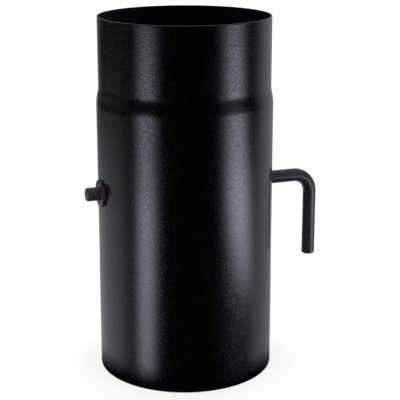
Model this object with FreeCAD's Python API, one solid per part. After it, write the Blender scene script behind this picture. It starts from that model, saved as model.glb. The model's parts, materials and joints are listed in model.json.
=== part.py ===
"""Stove pipe damper: a short flue pipe with a round blade that turns on a bent spindle.

Millimetres, +Z up. The pipe stands on its socket end with its axis on Z.
The spindle lies along X, its bent end is the handle at +X and hangs down when the blade is open.
"""
import FreeCAD, Part
import math
import os

from FreeCAD import Placement, Rotation, Vector

# Pipe: sheet rolled to a tube, sized out at the bottom and swaged in at the top
bore_d = 120.0            # inside of the pipe between its two ends
wall = 1.2                # sheet thickness
body_length = 189.5       # from the bottom rim to the foot of the curved step
joggle_height = 12.0      # height of the curved step between body and spigot
joggle_hollow = 14.0      # radius of the step's upper, hollow curve
spigot_length = 48.5      # straight end that goes into the next pipe
spigot_clearance = 0.55   # all round, between a spigot and the socket it goes into
socket_depth = 55.0       # stretch at the bottom that is sized out to take a spigot
socket_swell = 0.2        # how far the socket's wall stands out from the pipe's
socket_taper = 40.0       # run of the slope between socket and pipe
rim_chamfer = 0.3         # broken outer edge of the spigot's rim, which leads it in

# Bushes: one in each side of the pipe, with a flange on the outside
flange_d = 19.0
flange_thickness = 1.6    # where the flange is thinnest, over the crown of the pipe
sleeve_d = 13.0           # the neck that goes through the pipe's wall
neck_clearance = 0.05     # all round, between neck and wall

# Spindle: one round bar, bent down at the right to make the handle
spindle_height = 130.0    # spindle axis above the bottom rim
rod_d = 9.5
turning_clearance = 0.1   # all round, between spindle and bush
stub_length = 9.2         # free end at the left, past the flange
handle_reach = 34.2       # from the right flange to the handle's axis
handle_drop = 61.0        # from the spindle axis to the handle's tip
bend_radius = 13.0        # of the bar's centre line
end_chamfer = 0.8
flat_depth = 1.25         # flat milled along the bar for the blade
flat_overrun = 0.4        # how far that flat runs past the blade at each end

# Blade: a round plate with two vents, so that it can't shut the flue off
rim_gap = 2.5             # between the blade's rim and the pipe
end_float = 1.0           # between the blade's rim and the end of a bush
blade_thickness = 2.0
vent_d = 36.0

# Fasteners: two small hexagon bolts through bar and blade, each with a split washer and a nut
bolt_d = 4.0
bolt_spacing = 60.0
bolt_clearance = 0.15     # all round, in bar and blade
hex_across = 7.0          # across the flats of head and nut
head_height = 2.8
nut_height = 3.2
thread_gap = 0.03         # between the bolt and the plain bore that stands for the nut's thread
thread_proud = 1.5        # bolt end past the nut
seat_depth = 1.0          # spot face in the bar, under the bolt's head
seat_margin = 0.6         # spot face, all round the head's corners
washer_across = 7.6
washer_thickness = 0.9
washer_slit = 0.8
washer_slant = 25.0       # of the slit, in degrees

# Sizes that follow from those above
bore_r = bore_d / 2
body_r = bore_r + wall
socket_r = bore_r + socket_swell
spigot_r = socket_r - spigot_clearance
spigot_foot = body_length + joggle_height
pipe_length = spigot_foot + spigot_length
rod_r = rod_d / 2
flange_face = body_r + flange_thickness
blade_r = bore_r - rim_gap
blade_seat = rod_r - flat_depth
head_seat = rod_r - seat_depth
nut_side = blade_seat + blade_thickness
nut_seat = nut_side + washer_thickness
bolt_length = head_seat + nut_seat + nut_height + thread_proud
hex_corner = hex_across / math.sqrt(3)
vent_offset = (rod_r + blade_r) / 2
bolt_places = (-bolt_spacing / 2, bolt_spacing / 2)

X = Vector(1, 0, 0)
Y = Vector(0, 1, 0)
Z = Vector(0, 0, 1)


def line(a, b):
    """A straight edge between two points given as (r, z)."""
    return Part.LineSegment(Vector(a[0], 0, a[1]), Vector(b[0], 0, b[1])).toShape()


def arc(centre, radius, start, end):
    """An arc about a point (r, z), between two angles in degrees from +r towards +z."""
    points = []
    for angle in (start, (start + end) / 2, end):
        turn = math.radians(angle)
        points.append(Vector(centre[0] + radius * math.cos(turn), 0, centre[1] + radius * math.sin(turn)))
    return Part.Arc(*points).toShape()


def wall_line(inset, low, high):
    """Edges up one face of the pipe's wall, set in from its outer face, between two heights."""
    step = body_r - spigot_r
    lean = 2 * math.degrees(math.atan2(step, joggle_height))
    joggle_crown = joggle_height / math.sin(math.radians(lean)) - joggle_hollow
    taper_top = socket_depth + socket_taper
    return [
        line((body_r + socket_swell - inset, low), (body_r + socket_swell - inset, socket_depth)),
        line((body_r + socket_swell - inset, socket_depth), (body_r - inset, taper_top)),
        line((body_r - inset, taper_top), (body_r - inset, body_length)),
        arc((body_r - joggle_crown, body_length), joggle_crown - inset, 0, lean),
        arc((spigot_r + joggle_hollow, spigot_foot), joggle_hollow + inset, 180 + lean, 180),
        line((spigot_r - inset, spigot_foot), (spigot_r - inset, high)),
    ]


def make_pipe():
    """The rolled tube with socket, curved step and spigot, and a hole in each side for a bush."""
    edge = min(rim_chamfer, wall / 3)
    top = pipe_length - edge
    socket_out = body_r + socket_swell
    bottom_rim = [line((socket_r, 0), (socket_out, 0))]
    outside = wall_line(0, 0, top)
    inside = wall_line(wall, 0, pipe_length)
    top_rim = [
        line((spigot_r, top), (spigot_r - edge, pipe_length)),
        line((spigot_r - edge, pipe_length), (spigot_r - wall, pipe_length)),
    ]
    edges = bottom_rim + outside + top_rim + inside
    section = Part.Face(Part.Wire(Part.__sortEdges__(edges)))
    tube = section.revolve(Vector(0, 0, 0), Z, 360)
    hole_r = sleeve_d / 2 + neck_clearance
    hole = Part.makeCylinder(hole_r, 4 * body_r, Vector(-2 * body_r, 0, spindle_height), X)
    return tube.cut(hole)


def make_bush(side):
    """A flanged bush in the pipe's wall, its flange saddled to the pipe. side is +1 or -1 along X."""
    height = Vector(0, 0, spindle_height)
    flange = Part.makeCylinder(flange_d / 2, flange_face, height, X)
    flange = flange.cut(Part.makeCylinder(body_r, pipe_length))
    neck_end = blade_r + end_float
    neck_start = Vector(neck_end, 0, spindle_height)
    neck = Part.makeCylinder(sleeve_d / 2, flange_face - flange_thickness / 2 - neck_end, neck_start, X)
    bore_r_in = rod_r + turning_clearance
    bore = Part.makeCylinder(bore_r_in, 2 * body_r, height, X)
    bush = flange.fuse(neck).cut(bore).removeSplitter()
    if side < 0:
        bush.rotate(Vector(0, 0, 0), Z, 180)
    return bush


def make_spindle():
    """The bent bar: stub, straight spindle with a flat and two bolt seats, bend and handle."""
    left = -(flange_face + stub_length)
    right = flange_face + handle_reach
    tip = spindle_height - handle_drop
    bend_in = Vector(right - bend_radius, 0, spindle_height)
    bend_out = Vector(right, 0, spindle_height - bend_radius)
    diagonal = bend_radius * math.sqrt(0.5)
    bend_mid = Vector(right - bend_radius + diagonal, 0, spindle_height - bend_radius + diagonal)
    path = Part.Wire([
        Part.LineSegment(Vector(left, 0, spindle_height), bend_in).toShape(),
        Part.Arc(bend_in, bend_mid, bend_out).toShape(),
        Part.LineSegment(bend_out, Vector(right, 0, tip)).toShape(),
    ])
    ring = Part.Wire(Part.makeCircle(rod_r, Vector(left, 0, spindle_height), X))
    bar = path.makePipeShell([ring], True, True)
    ends = [e for e in bar.Edges if e.BoundBox.XMax < left + 0.01 or e.BoundBox.ZMax < tip + 0.01]
    bar = bar.makeChamfer(end_chamfer, ends)
    flat_half = blade_r + flat_overrun
    flat_corner = Vector(-flat_half, blade_seat, spindle_height - rod_d)
    bar = bar.cut(Part.makeBox(2 * flat_half, rod_d, 2 * rod_d, flat_corner))
    for place in bolt_places:
        seat = Vector(place, -head_seat, spindle_height)
        bar = bar.cut(Part.makeCylinder(hex_corner + seat_margin, rod_d, seat, -Y))
        bar = bar.cut(bolt_hole(place))
    return bar


def bolt_hole(place):
    """The hole for a bolt, right through bar and blade."""
    start = Vector(place, -2 * rod_d, spindle_height)
    return Part.makeCylinder(bolt_d / 2 + bolt_clearance, 4 * rod_d + blade_thickness, start, Y)


def make_blade():
    """The round plate on the bar's flat, with a vent above and one below the spindle."""
    blade = Part.makeCylinder(blade_r, blade_thickness, Vector(0, blade_seat, spindle_height), Y)
    for side in (-1, 1):
        centre = Vector(0, blade_seat, spindle_height + side * vent_offset)
        blade = blade.cut(Part.makeCylinder(vent_d / 2, blade_thickness, centre, Y))
    for place in bolt_places:
        blade = blade.cut(bolt_hole(place))
    return blade


def hex_blank(height):
    """A hexagon on the XY plane with its corners bevelled at the top."""
    corners = []
    for i in range(7):
        turn = math.radians(60 * i)
        corners.append(Vector(hex_corner * math.cos(turn), hex_corner * math.sin(turn), 0))
    prism = Part.Face(Part.makePolygon(corners)).extrude(Vector(0, 0, height))
    land = 0.95 * hex_across / 2
    bevel = (hex_corner - land) * math.tan(math.radians(30))
    outline = [(0, 0), (hex_corner, 0), (hex_corner, height - bevel), (land, height), (0, height)]
    edges = [line(a, b) for a, b in zip(outline, outline[1:] + outline[:1])]
    limit = Part.Face(Part.Wire(edges)).revolve(Vector(0, 0, 0), Z, 360)
    return prism.common(limit)


def across_bar(shape, place, offset):
    """Lay a piece built up Z along Y, with its origin on a bolt's axis at the given offset from the bar's."""
    shape.Placement = Placement(Vector(place, offset, spindle_height), Rotation(X, -90))
    return shape


def make_bolt(place):
    """A hexagon bolt, its head on the bar's spot face."""
    head = hex_blank(head_height)
    head.rotate(Vector(0, 0, 0), X, 180)
    shank = Part.makeCylinder(bolt_d / 2, bolt_length + head_height / 2, Vector(0, 0, -head_height / 2))
    return across_bar(head.fuse(shank).removeSplitter(), place, -head_seat)


def make_washer(place):
    """A split spring washer, pressed flat between blade and nut."""
    ring = Part.makeCylinder(washer_across / 2, washer_thickness)
    ring = ring.cut(Part.makeCylinder(bolt_d / 2 + bolt_clearance, washer_thickness))
    slit = Part.makeBox(washer_across, washer_slit, 4 * washer_thickness)
    slit.translate(Vector(0, -washer_slit / 2, -2 * washer_thickness))
    slit.rotate(Vector(0, 0, 0), X, washer_slant)
    slit.translate(Vector(0, 0, washer_thickness / 2))
    return across_bar(ring.cut(slit), place, nut_side)


def make_nut(place):
    """A hexagon nut on the bolt's end."""
    nut = hex_blank(nut_height)
    nut = nut.cut(Part.makeCylinder(bolt_d / 2 + thread_gap, nut_height))
    return across_bar(nut, place, nut_seat)


def main():
    pieces = {
        "pipe": make_pipe(),
        "bush_left": make_bush(-1),
        "bush_right": make_bush(1),
        "spindle": make_spindle(),
        "blade": make_blade(),
    }
    for side, place in zip(("left", "right"), bolt_places):
        pieces["bolt_" + side] = make_bolt(place)
        pieces["lock_washer_" + side] = make_washer(place)
        pieces["nut_" + side] = make_nut(place)
    os.makedirs("parts", exist_ok=True)
    for name, shape in pieces.items():
        shape.exportStep("parts/" + name + ".step")
        print(name, len(shape.Solids), shape.isValid(), round(shape.Volume, 1))


main()
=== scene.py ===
import json
import math

import bpy
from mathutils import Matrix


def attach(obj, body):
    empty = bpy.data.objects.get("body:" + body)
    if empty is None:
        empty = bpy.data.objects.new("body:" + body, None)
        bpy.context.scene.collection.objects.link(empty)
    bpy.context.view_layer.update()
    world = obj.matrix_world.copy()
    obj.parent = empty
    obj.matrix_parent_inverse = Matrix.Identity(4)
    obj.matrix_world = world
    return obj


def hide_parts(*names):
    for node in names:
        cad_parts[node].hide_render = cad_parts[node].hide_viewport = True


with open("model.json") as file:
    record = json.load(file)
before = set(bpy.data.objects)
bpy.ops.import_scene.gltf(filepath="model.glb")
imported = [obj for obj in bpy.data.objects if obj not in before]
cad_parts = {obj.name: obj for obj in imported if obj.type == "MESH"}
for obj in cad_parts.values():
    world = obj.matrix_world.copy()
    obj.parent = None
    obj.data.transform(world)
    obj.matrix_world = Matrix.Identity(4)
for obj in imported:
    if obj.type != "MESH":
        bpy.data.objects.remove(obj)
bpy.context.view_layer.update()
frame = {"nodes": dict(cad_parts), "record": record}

# Where the photograph was taken from, in metres and degrees about the pipe's axis
camera_distance = 0.77256
camera_height = 0.34151
camera_azimuth = -19.478
camera_turn = 0.7796       # how far the camera looks past the axis, to the right
camera_pitch = 14.6434     # how far it looks down
camera_lens = 102.117
camera_sensor = 36.0
camera_shift = -0.07

# Paint colours, as linear red, green and blue
paint_black = (0.0006, 0.0001, 0.0009)
paint_worn = (0.0019, 0.0007, 0.0023)
bar_black = (0.0235, 0.016, 0.024)
bar_worn = (0.033, 0.024, 0.034)
soot_black = (0.004, 0.0036, 0.0034)
soot_grey = (0.013, 0.012, 0.011)
steel_grey = (0.2, 0.195, 0.19)
steel_dark = (0.07, 0.066, 0.062)

# The lights' colours and strengths
lamp_colour = (0.87, 0.83, 1.0, 1.0)
paper_colour = (0.95, 0.88, 1.0, 1.0)
left_box = 2.1
right_box = 2.65
left_far_light = 2.6
right_far_light = 3.95
fill_strength = 0.45
overhead_strength = 0.9
floor_glow = 0.63
floor_grey = 0.3

# Soft boxes near the pipe, in metres
box_distance = 0.35
box_size = 1.2

# Far lights, by how far up a reflection looks, in degrees
far_top = (-10.6, -6.2)       # where they drop to what is left of them higher up
far_end = (5.0, 25.0)         # where that fades out too
far_lean_level = -12.0        # where a leaning light crosses its own middle
far_lean_top = -9.0           # above this it stands upright

# The white paper that the paint mirrors: sideways in degrees from the camera's side, heights as sines
paper_strength = 0.56
room_dim = 0.0004
paper_low = (-0.34, -0.15)    # where the low paper ends
left_edge = (63.0, 106.0)
left_rise = (-0.17, -0.02)
left_high_tone = 0.17
right_edge = (80.0, 112.0)
right_edge_shift = 18.0       # how much further round the right edge lies above the low paper
right_tone = 0.83
right_low_dip = 0.05
behind_edge = (136.0, 184.0)
behind_tone = 1.2

# The floor, and the dark round the pipe's foot, in metres
floor_radius = 4.0
shade_radius = 0.2
shade_depth = 0.0003
foot_shade_start = 0.056
foot_shade_end = 0.092
foot_shade_forward = 0.02

# The pipe's sizes, as the frame has them, in metres
wall = 0.0012
body_r = 0.0612
socket_r = 0.0614
spigot_r = 0.05965
socket_top = 0.055
taper_top = 0.095
step_foot = 0.1895
step_top = 0.2015
step_hollow = 0.014
pipe_length = 0.25
spindle_height = 0.13
bush_hole_r = 0.00655
rim_round = 0.0003
step_softness = 0.0018     # how far the paint and the rolling round off the ends of the step's curves
facets_around = 192

# Heights of rings of the pipe's mesh that keep its flat stretches smooth, in metres
rim_ring = 0.002           # from each rim
foot_rings = (0.02, 0.04)
spigot_rings = (0.22, 0.236)
hole_margin = 0.011        # above and below the spindle's axis
step_margin = 0.004        # past both ends of the step

# How far the sharp edges of the small pieces are rounded, in metres
rounded_edges = {
    "bush_left": 0.0004,
    "bush_right": 0.0004,
    "blade": 0.0003,
    "bolt_left": 0.0002,
    "bolt_right": 0.0002,
    "nut_left": 0.0002,
    "nut_right": 0.0002,
}

# Sizes of the surface detail, in metres
grain_size = 0.0013
speck_size = 0.0006
mottle_size = 0.012
seam_width = 0.0026
seam_height = 0.00022


def new_material(name):
    """An empty node material and its tree."""
    material = bpy.data.materials.new(name)
    material.use_nodes = True
    material.node_tree.nodes.clear()
    return material, material.node_tree


def add_node(tree, kind, **inputs):
    """A node of that kind with some of its sockets set, spaces written as underscores."""
    node = tree.nodes.new(kind)
    for key, value in inputs.items():
        node.inputs[key.replace("_", " ")].default_value = value
    return node


def math_node(tree, operation, a, b=None, c=None):
    """A Math node fed by sockets or numbers, and its result."""
    node = tree.nodes.new("ShaderNodeMath")
    node.operation = operation
    for socket, value in zip(node.inputs, (a, b, c)):
        if isinstance(value, bpy.types.NodeSocket):
            tree.links.new(value, socket)
        elif value is not None:
            socket.default_value = value
    return node.outputs[0]


def ramp_between(tree, value, low, high, to_low=0.0, to_high=1.0):
    """value moved from the range low to high onto another range, smoothly and held at its ends."""
    node = tree.nodes.new("ShaderNodeMapRange")
    node.interpolation_type = "SMOOTHSTEP"
    tree.links.new(value, node.inputs["Value"])
    node.inputs["From Min"].default_value = low
    node.inputs["From Max"].default_value = high
    node.inputs["To Min"].default_value = to_low
    node.inputs["To Max"].default_value = to_high
    return node.outputs["Result"]


def noise(tree, place, size, detail):
    """Noise with spots of about that size, in metres."""
    node = add_node(tree, "ShaderNodeTexNoise", Scale=1.0 / size, Detail=detail, Roughness=0.6)
    tree.links.new(place, node.inputs["Vector"])
    return node.outputs["Fac"]


def two_colours(tree, fac, first, second):
    """first where fac is 0 and second where it is 1."""
    node = tree.nodes.new("ShaderNodeMix")
    node.data_type = "RGBA"
    tree.links.new(fac, node.inputs["Factor"])
    node.inputs[6].default_value = (*first, 1.0)
    node.inputs[7].default_value = (*second, 1.0)
    return node.outputs[2]


def bump(tree, height, distance, strength, under=None):
    """A Bump node on that height, over another normal if one is given."""
    node = add_node(tree, "ShaderNodeBump", Strength=strength, Distance=distance)
    tree.links.new(height, node.inputs["Height"])
    if under is not None:
        tree.links.new(under, node.inputs["Normal"])
    return node.outputs["Normal"]


def to_output(tree, shader, kind="ShaderNodeOutputMaterial"):
    """Make a shader the one that a material or the world shows."""
    output = tree.nodes.new(kind)
    tree.links.new(shader, output.inputs["Surface"])


def both_shaders(tree, first, second):
    """The sum of two shaders."""
    node = tree.nodes.new("ShaderNodeAddShader")
    tree.links.new(first, node.inputs[0])
    tree.links.new(second, node.inputs[1])
    return node.outputs[0]


def finish_surface(tree, colour, roughness, normal, metallic, specular):
    """The Principled surface that ends a material."""
    surface = add_node(tree, "ShaderNodeBsdfPrincipled", Metallic=metallic, Specular_IOR_Level=specular)
    tree.links.new(colour, surface.inputs["Base Color"])
    tree.links.new(roughness, surface.inputs["Roughness"])
    tree.links.new(normal, surface.inputs["Normal"])
    to_output(tree, surface.outputs[0])


def sprayed_grain(tree, place, strength):
    """The fine lumpy grain of sprayed paint."""
    lumps = bump(tree, noise(tree, place, grain_size, 1.0), 0.0002, strength)
    return bump(tree, noise(tree, place, speck_size, 1.0), 0.0001, strength, lumps)


def speckled(tree, place, smooth, rough):
    """Roughness that changes from grain to grain of the paint."""
    return ramp_between(tree, noise(tree, place, grain_size, 1.0), 0.36, 0.64, smooth, rough)


def heat_paint(name, colour, worn, smooth, rough, grain, specular):
    """Satin black heat paint: a fine sprayed grain and slow patches of duller paint."""
    material, tree = new_material(name)
    place = tree.nodes.new("ShaderNodeTexCoord").outputs["Object"]
    patches = noise(tree, place, mottle_size, 3.0)
    tint = two_colours(tree, ramp_between(tree, patches, 0.4, 0.75), colour, worn)
    roughness = speckled(tree, place, smooth, rough)
    normal = sprayed_grain(tree, place, grain)
    finish_surface(tree, tint, roughness, normal, metallic=0.0, specular=specular)
    return material


def dull_inside(tree, axes, rough):
    """rough on the inside of the pipe's wall, and 0 on its outside."""
    around = tree.nodes.new("ShaderNodeCombineXYZ")
    tree.links.new(axes.outputs["X"], around.inputs["X"])
    tree.links.new(axes.outputs["Y"], around.inputs["Y"])
    radius = tree.nodes.new("ShaderNodeVectorMath")
    radius.operation = "LENGTH"
    tree.links.new(around.outputs[0], radius.inputs[0])
    body_mid = body_r - wall / 2
    spigot_mid = spigot_r - wall / 2
    mid_wall = ramp_between(tree, axes.outputs["Z"], step_foot, step_top, body_mid, spigot_mid)
    inside = math_node(tree, "LESS_THAN", radius.outputs["Value"], mid_wall)
    return math_node(tree, "MULTIPLY", inside, rough)


def pipe_paint():
    """The pipe's heat paint, with the flush weld seam down its back showing through."""
    material, tree = new_material("pipe_heat_paint")
    place = tree.nodes.new("ShaderNodeTexCoord").outputs["Object"]
    axes = tree.nodes.new("ShaderNodeSeparateXYZ")
    tree.links.new(place, axes.inputs[0])
    patches = noise(tree, place, mottle_size, 3.0)
    tint = two_colours(tree, ramp_between(tree, patches, 0.4, 0.75), paint_black, paint_worn)
    outside = speckled(tree, place, smooth=0.165, rough=0.275)
    roughness = math_node(tree, "MAXIMUM", outside, dull_inside(tree, axes, rough=0.8))
    across = math_node(tree, "ABSOLUTE", axes.outputs["X"])
    bead = ramp_between(tree, across, 0.2 * seam_width, 0.6 * seam_width, 1.0, 0.0)
    behind = math_node(tree, "GREATER_THAN", axes.outputs["Y"], 0.0)
    seam = math_node(tree, "MULTIPLY", bead, behind)
    normal = bump(tree, seam, seam_height, 1.0, sprayed_grain(tree, place, strength=0.2))
    finish_surface(tree, tint, roughness, normal, metallic=0.0, specular=1.0)
    return material


def dull_steel():
    """Plain steel fasteners, dulled by heat, with fine turning marks."""
    material, tree = new_material("dulled_steel")
    place = tree.nodes.new("ShaderNodeTexCoord").outputs["Object"]
    patches = noise(tree, place, 0.002, 4.0)
    marks = noise(tree, place, 0.0003, 2.0)
    tint = two_colours(tree, ramp_between(tree, patches, 0.35, 0.7), steel_grey, steel_dark)
    roughness = ramp_between(tree, patches, 0.3, 0.7, 0.38, 0.55)
    normal = bump(tree, marks, 0.00005, 0.4)
    finish_surface(tree, tint, roughness, normal, metallic=1.0, specular=0.5)
    return material


def dress_nodes():
    """Give every CAD node its finish."""
    finishes = {
        "pipe_paint": pipe_paint(),
        "bush_paint": heat_paint("bush_heat_paint", bar_black, bar_worn,
                                 smooth=0.28, rough=0.4, grain=0.2, specular=1.0),
        "spindle_paint": heat_paint("spindle_heat_paint", bar_black, bar_worn,
                                    smooth=0.27, rough=0.38, grain=0.2, specular=0.8),
        "blade_steel": heat_paint("blade_sooted_paint", soot_black, soot_grey,
                                  smooth=0.5, rough=0.65, grain=0.5, specular=0.6),
        "fastener_steel": dull_steel(),
    }
    for row in frame["record"]["subparts"]:
        mesh = frame["nodes"][row["node"]].data
        mesh.materials.clear()
        mesh.materials.append(finishes[row["material_slot"]])
    return finishes


def step_radius(height):
    """Outer radius of body, step and spigot at a height. Two curves that meet in line make the step."""
    if height <= step_foot:
        return body_r
    if height >= step_top:
        return spigot_r
    rise = step_top - step_foot
    lean = 2 * math.atan2(body_r - spigot_r, rise)
    crown = rise / math.sin(lean) - step_hollow
    if height < step_foot + crown * math.sin(lean):
        return body_r - crown + math.sqrt(crown ** 2 - (height - step_foot) ** 2)
    return spigot_r + step_hollow - math.sqrt(step_hollow ** 2 - (step_top - height) ** 2)


def outer_radius(height):
    """Outer radius of the pipe at a height, with its curves softened and the socket sized out."""
    offsets = [step_softness * i / 4 for i in range(-4, 5)]
    radius = sum(step_radius(height + offset) for offset in offsets) / len(offsets)
    taper = min(max((taper_top - height) / (taper_top - socket_top), 0.0), 1.0)
    return radius + (socket_r - body_r) * taper * taper * (3 - 2 * taper)


def ring_heights():
    """Heights of the pipe's rings, close together at the taper, the bushes' holes and the step."""
    heights = [2 * rim_round, rim_ring, *foot_rings]
    stretches = (
        (socket_top, taper_top, 10),
        (spindle_height - hole_margin, spindle_height + hole_margin, 8),
        (step_foot - step_margin, step_top + step_margin, 50),
    )
    for low, high, count in stretches:
        heights += [low + (high - low) * i / count for i in range(count + 1)]
    return heights + [*spigot_rings, pipe_length - rim_ring, pipe_length - 2 * rim_round, pipe_length]


def apply_modifier(piece, kind, **settings):
    """Add a modifier with those settings to a piece, and apply it."""
    modifier = piece.modifiers.new(kind.lower(), kind)
    for key, value in settings.items():
        setattr(modifier, key, value)
    bpy.context.view_layer.objects.active = piece
    bpy.ops.object.modifier_apply(modifier=modifier.name)


def only(piece):
    """Make a piece the one that is selected and worked on."""
    bpy.ops.object.select_all(action="DESELECT")
    piece.select_set(True)
    bpy.context.view_layer.objects.active = piece


def round_rims(pipe):
    """Round the edges of both rims a little, as paint does."""
    only(pipe)
    bpy.ops.object.mode_set(mode="EDIT")
    bpy.ops.mesh.select_mode(type="EDGE")
    bpy.ops.mesh.select_all(action="DESELECT")
    bpy.ops.object.mode_set(mode="OBJECT")
    points = [v.co for v in pipe.data.vertices]
    for edge in pipe.data.edges:
        a, b = (points[i] for i in edge.vertices)
        level = abs(a.z - b.z) < 1e-6 and abs(a.xy.length - b.xy.length) < 1e-6
        edge.select = level and (a.z < 1e-6 or a.z > pipe_length - 1e-6)
    bpy.ops.object.mode_set(mode="EDIT")
    bpy.ops.mesh.bevel(offset=rim_round, segments=3, affect="EDGES")
    bpy.ops.object.mode_set(mode="OBJECT")


def bore_bush_holes(pipe):
    """Bore the pipe from side to side for its two bushes."""
    bpy.ops.object.select_all(action="DESELECT")
    bpy.ops.mesh.primitive_cylinder_add(vertices=64, radius=bush_hole_r, depth=0.2,
                                        location=(0, 0, spindle_height), rotation=(0, math.pi / 2, 0))
    drill = bpy.context.object
    apply_modifier(pipe, "BOOLEAN", object=drill, operation="DIFFERENCE", solver="EXACT")
    bpy.data.objects.remove(drill)


def make_flue_pipe(paint):
    """The pipe, drawn up ring by ring from its bottom rim, given its wall and bored for the bushes."""
    bpy.ops.object.select_all(action="DESELECT")
    bpy.ops.mesh.primitive_circle_add(vertices=facets_around, radius=socket_r, fill_type="NOTHING")
    pipe = bpy.context.object
    pipe.name = "flue_pipe"
    bpy.ops.object.mode_set(mode="EDIT")
    bpy.ops.mesh.select_all(action="SELECT")
    height = 0.0
    radius = socket_r
    for next_height in ring_heights():
        next_radius = outer_radius(next_height)
        grow = next_radius / radius
        bpy.ops.mesh.extrude_edges_move(TRANSFORM_OT_translate={"value": (0, 0, next_height - height)})
        bpy.ops.transform.resize(value=(grow, grow, 1), center_override=(0, 0, next_height))
        height = next_height
        radius = next_radius
    bpy.ops.mesh.select_all(action="SELECT")
    bpy.ops.mesh.normals_make_consistent(inside=False)
    bpy.ops.object.mode_set(mode="OBJECT")
    apply_modifier(pipe, "SOLIDIFY", thickness=wall, offset=-1, use_even_offset=True)
    round_rims(pipe)
    bore_bush_holes(pipe)
    only(pipe)
    bpy.ops.object.shade_smooth_by_angle(angle=math.radians(30))
    pipe.data.materials.append(paint)
    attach(pipe, "pipe")
    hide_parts("pipe")


def round_small_pieces():
    """Stand copies with rounded edges in for the bushes, the blade and its fasteners."""
    bodies = {node: body for body, nodes in frame["record"]["behaviour"]["bodies"].items() for node in nodes}
    for name, width in rounded_edges.items():
        piece = bpy.data.objects.new(name + "_rounded", frame["nodes"][name].data.copy())
        bpy.context.collection.objects.link(piece)
        only(piece)
        bpy.ops.mesh.customdata_custom_splitnormals_clear()
        bpy.ops.object.mode_set(mode="EDIT")
        bpy.ops.mesh.select_all(action="SELECT")
        bpy.ops.mesh.remove_doubles(threshold=1e-6)
        bpy.ops.mesh.dissolve_limited(angle_limit=math.radians(0.5))
        bpy.ops.object.mode_set(mode="OBJECT")
        apply_modifier(piece, "BEVEL", width=width, segments=2,
                       limit_method="ANGLE", angle_limit=math.radians(40))
        bpy.ops.object.shade_smooth_by_angle(angle=math.radians(35))
        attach(piece, bodies[name])
        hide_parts(name)


def make_floor():
    """A white floor that takes a soft shadow. Reflections look past it to the studio's light."""
    bpy.ops.object.select_all(action="DESELECT")
    bpy.ops.mesh.primitive_circle_add(vertices=96, radius=floor_radius, fill_type="NGON", location=(0, 0, 0))
    floor = bpy.context.object
    floor.name = "studio_floor"
    material, tree = new_material("white_floor")
    rays = tree.nodes.new("ShaderNodeLightPath")
    glow = add_node(tree, "ShaderNodeEmission", Color=(1.0, 1.0, 1.0, 1.0))
    seen = math_node(tree, "MULTIPLY", rays.outputs["Is Camera Ray"], floor_glow)
    tree.links.new(seen, glow.inputs["Strength"])
    matt = add_node(tree, "ShaderNodeBsdfDiffuse", Color=(floor_grey, floor_grey, floor_grey, 1.0))
    to_output(tree, both_shaders(tree, glow.outputs[0], matt.outputs[0]))
    floor.data.materials.append(material)
    floor.visible_glossy = False
    floor.visible_shadow = False


def make_foot_shade():
    """The dark round the pipe's foot, which only reflections see."""
    bpy.ops.object.select_all(action="DESELECT")
    around = math.radians(camera_azimuth)
    forward = (foot_shade_forward * math.sin(around), -foot_shade_forward * math.cos(around), -shade_depth)
    bpy.ops.mesh.primitive_circle_add(vertices=96, radius=shade_radius, fill_type="NGON", location=forward)
    shade = bpy.context.object
    shade.name = "foot_shade"
    material, tree = new_material("foot_shade")
    place = tree.nodes.new("ShaderNodeTexCoord").outputs["Object"]
    reach = tree.nodes.new("ShaderNodeVectorMath")
    reach.operation = "LENGTH"
    tree.links.new(place, reach.inputs[0])
    clear = ramp_between(tree, reach.outputs["Value"], foot_shade_start, foot_shade_end)
    black = add_node(tree, "ShaderNodeBsdfDiffuse", Color=(0.0, 0.0, 0.0, 1.0))
    glass = add_node(tree, "ShaderNodeBsdfTransparent")
    mix = tree.nodes.new("ShaderNodeMixShader")
    tree.links.new(clear, mix.inputs[0])
    tree.links.new(black.outputs[0], mix.inputs[1])
    tree.links.new(glass.outputs[0], mix.inputs[2])
    to_output(tree, mix.outputs[0])
    shade.data.materials.append(material)
    shade.visible_camera = False
    shade.visible_diffuse = False


def hang_soft_box(name, turn, lean, skew, width, strength, foot, top):
    """A soft box that only reflections see, facing the pipe, turned that many degrees from the camera's side.

    It leans, is as wide as width to each side, and fades in over foot, which skew tilts, and out over top.
    """
    bpy.ops.object.select_all(action="DESELECT")
    bpy.ops.mesh.primitive_plane_add(size=box_size)
    box = bpy.context.object
    box.name = name
    around = math.radians(camera_azimuth + turn)
    box.location = (box_distance * math.sin(around), -box_distance * math.cos(around), 0)
    box.rotation_euler = (math.radians(90), 0, around)
    material, tree = new_material(name)
    axes = tree.nodes.new("ShaderNodeSeparateXYZ")
    tree.links.new(tree.nodes.new("ShaderNodeTexCoord").outputs["Object"], axes.inputs[0])
    across = axes.outputs["X"]
    up = axes.outputs["Y"]
    middle = math_node(tree, "MULTIPLY", up, lean)
    off = math_node(tree, "ABSOLUTE", math_node(tree, "SUBTRACT", across, middle))
    glow = ramp_between(tree, off, 0.0, width, strength, 0.0)
    above_foot = math_node(tree, "ADD", up, math_node(tree, "MULTIPLY", across, skew))
    glow = math_node(tree, "MULTIPLY", glow, ramp_between(tree, above_foot, *foot))
    glow = math_node(tree, "MULTIPLY", glow, ramp_between(tree, up, *top, 1.0, 0.0))
    light = add_node(tree, "ShaderNodeEmission", Color=lamp_colour)
    tree.links.new(glow, light.inputs["Strength"])
    clear = add_node(tree, "ShaderNodeBsdfTransparent")
    to_output(tree, both_shaders(tree, light.outputs[0], clear.outputs[0]))
    box.data.materials.append(material)
    box.visible_camera = False
    box.visible_diffuse = False
    box.visible_shadow = False


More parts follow.
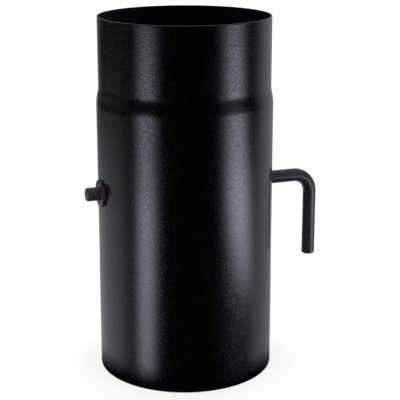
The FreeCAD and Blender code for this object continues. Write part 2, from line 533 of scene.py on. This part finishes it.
def where_facing(tree):
    """Where a reflection looks: sideways from the camera's side in degrees, and how far up as a sine."""
    turned = tree.nodes.new("ShaderNodeVectorRotate")
    turned.rotation_type = "Z_AXIS"
    turned.inputs["Angle"].default_value = math.radians(-camera_azimuth)
    tree.links.new(tree.nodes.new("ShaderNodeTexCoord").outputs["Generated"], turned.inputs["Vector"])
    axes = tree.nodes.new("ShaderNodeSeparateXYZ")
    tree.links.new(turned.outputs[0], axes.inputs[0])
    toward = math_node(tree, "MULTIPLY", axes.outputs["Y"], -1.0)
    around = math_node(tree, "ARCTAN2", axes.outputs["X"], toward)
    return math_node(tree, "MULTIPLY", around, math.degrees(1)), axes.outputs["Z"]


def far_light(tree, side, tilt, turn, lean, width, strength, foot, rest):
    """The far, upper part of a light: side and tilt are where a reflection looks, in degrees."""
    below = math_node(tree, "SUBTRACT", math_node(tree, "MINIMUM", tilt, far_lean_top), far_lean_level)
    centre = math_node(tree, "ADD", math_node(tree, "MULTIPLY", below, lean), turn)
    off = math_node(tree, "ABSOLUTE", math_node(tree, "SUBTRACT", side, centre))
    glow = ramp_between(tree, off, 0.0, width, strength, 0.0)
    glow = math_node(tree, "MULTIPLY", glow, ramp_between(tree, tilt, *foot))
    glow = math_node(tree, "MULTIPLY", glow, ramp_between(tree, tilt, *far_top, 1.0, rest))
    return math_node(tree, "MULTIPLY", glow, ramp_between(tree, tilt, *far_end, 1.0, 0.0))


def far_lights(tree, side, height):
    """Both far lights together."""
    tilt = math_node(tree, "MULTIPLY", math_node(tree, "ARCSINE", height), math.degrees(1))
    left = far_light(tree, side, tilt, turn=-51.0, lean=0.0, width=20.0,
                     strength=left_far_light, foot=(-17.5, -14.0), rest=0.02)
    right = far_light(tree, side, tilt, turn=70.0, lean=-1.3, width=24.0,
                      strength=right_far_light, foot=(-16.0, -12.6), rest=0.08)
    return math_node(tree, "ADD", left, right)


def white_paper(tree, side, height):
    """The white paper round the pipe: on the left it lies low, on the right it stands up."""
    away = math_node(tree, "ABSOLUTE", side)
    low = ramp_between(tree, height, *paper_low, 1.0, 0.0)
    left_tone = math_node(tree, "MAXIMUM", low, ramp_between(tree, height, *left_rise, 0.0, left_high_tone))
    left = math_node(tree, "MULTIPLY", ramp_between(tree, away, *left_edge), left_tone)
    shift = math_node(tree, "MULTIPLY_ADD", low, right_edge_shift, -right_edge_shift)
    from_right = math_node(tree, "ADD", away, shift)
    tone = math_node(tree, "MULTIPLY_ADD", low, -right_low_dip, right_tone)
    right = math_node(tree, "MULTIPLY", ramp_between(tree, from_right, *right_edge), tone)
    on_right = math_node(tree, "GREATER_THAN", side, 0.0)
    on_left = math_node(tree, "SUBTRACT", 1.0, on_right)
    paper = math_node(tree, "ADD", math_node(tree, "MULTIPLY", left, on_left),
                      math_node(tree, "MULTIPLY", right, on_right))
    behind = math_node(tree, "MULTIPLY", ramp_between(tree, away, *behind_edge), behind_tone)
    return math_node(tree, "MAXIMUM", paper, behind)


def light_world():
    """White to the camera. The paint mirrors a dim studio with white paper and two far lights."""
    world = bpy.data.worlds.new("studio")
    bpy.context.scene.world = world
    world.use_nodes = True
    tree = world.node_tree
    tree.nodes.clear()
    side, height = where_facing(tree)
    paper = math_node(tree, "MULTIPLY", white_paper(tree, side, height), paper_strength)
    backdrop = add_node(tree, "ShaderNodeBackground", Color=paper_colour)
    tree.links.new(math_node(tree, "ADD", paper, room_dim), backdrop.inputs["Strength"])
    lights = add_node(tree, "ShaderNodeBackground", Color=lamp_colour)
    tree.links.new(far_lights(tree, side, height), lights.inputs["Strength"])
    white = add_node(tree, "ShaderNodeBackground", Color=(1.0, 1.0, 1.0, 1.0))
    rays = tree.nodes.new("ShaderNodeLightPath")
    seen = tree.nodes.new("ShaderNodeMixShader")
    tree.links.new(rays.outputs["Is Camera Ray"], seen.inputs[0])
    tree.links.new(both_shaders(tree, backdrop.outputs[0], lights.outputs[0]), seen.inputs[1])
    tree.links.new(white.outputs[0], seen.inputs[2])
    to_output(tree, seen.outputs[0], "ShaderNodeOutputWorld")


def add_sun(name, strength, spread, lean=0.0, turn=0.0):
    """A wide soft sun that the paint doesn't mirror. Angles are in degrees."""
    lamp = bpy.data.lights.new(name, "SUN")
    lamp.energy = strength * math.pi
    lamp.angle = math.radians(spread)
    sun = bpy.data.objects.new(name, lamp)
    sun.rotation_euler = (math.radians(lean), 0, math.radians(turn))
    sun.location = (0, 0, 1)
    sun.visible_camera = False
    sun.visible_glossy = False
    bpy.context.collection.objects.link(sun)


def light_colours():
    """Light from overhead for the floor and its shadow, and from four sides to bring out the colours."""
    add_sun("overhead", overhead_strength, spread=70)
    for turn in (45, 135, 225, 315):
        add_sun("fill", fill_strength, spread=60, lean=72, turn=turn + camera_azimuth)


def place_camera():
    """The camera of the photograph."""
    data = bpy.data.cameras.new("photo_camera")
    data.lens = camera_lens
    data.sensor_width = camera_sensor
    data.shift_y = camera_shift
    camera = bpy.data.objects.new("photo_camera", data)
    turn = math.radians(camera_azimuth)
    camera.location = (camera_distance * math.sin(turn), -camera_distance * math.cos(turn), camera_height)
    camera.rotation_euler = (math.radians(90 - camera_pitch), 0, turn - math.radians(camera_turn))
    bpy.context.collection.objects.link(camera)
    bpy.context.scene.camera = camera


finishes = dress_nodes()
make_flue_pipe(finishes["pipe_paint"])
round_small_pieces()
make_floor()
make_foot_shade()
light_world()
hang_soft_box("left_soft_box", turn=-48.0, lean=0.06, skew=0.0, width=0.12,
              strength=left_box, foot=(-0.19, -0.11), top=(0.03, 0.09))
hang_soft_box("right_soft_box", turn=71.0, lean=-0.38, skew=0.16, width=0.18,
              strength=right_box, foot=(-0.054, 0.012), top=(0.045, 0.11))
light_colours()
place_camera()
bpy.context.scene.view_settings.view_transform = "Standard"
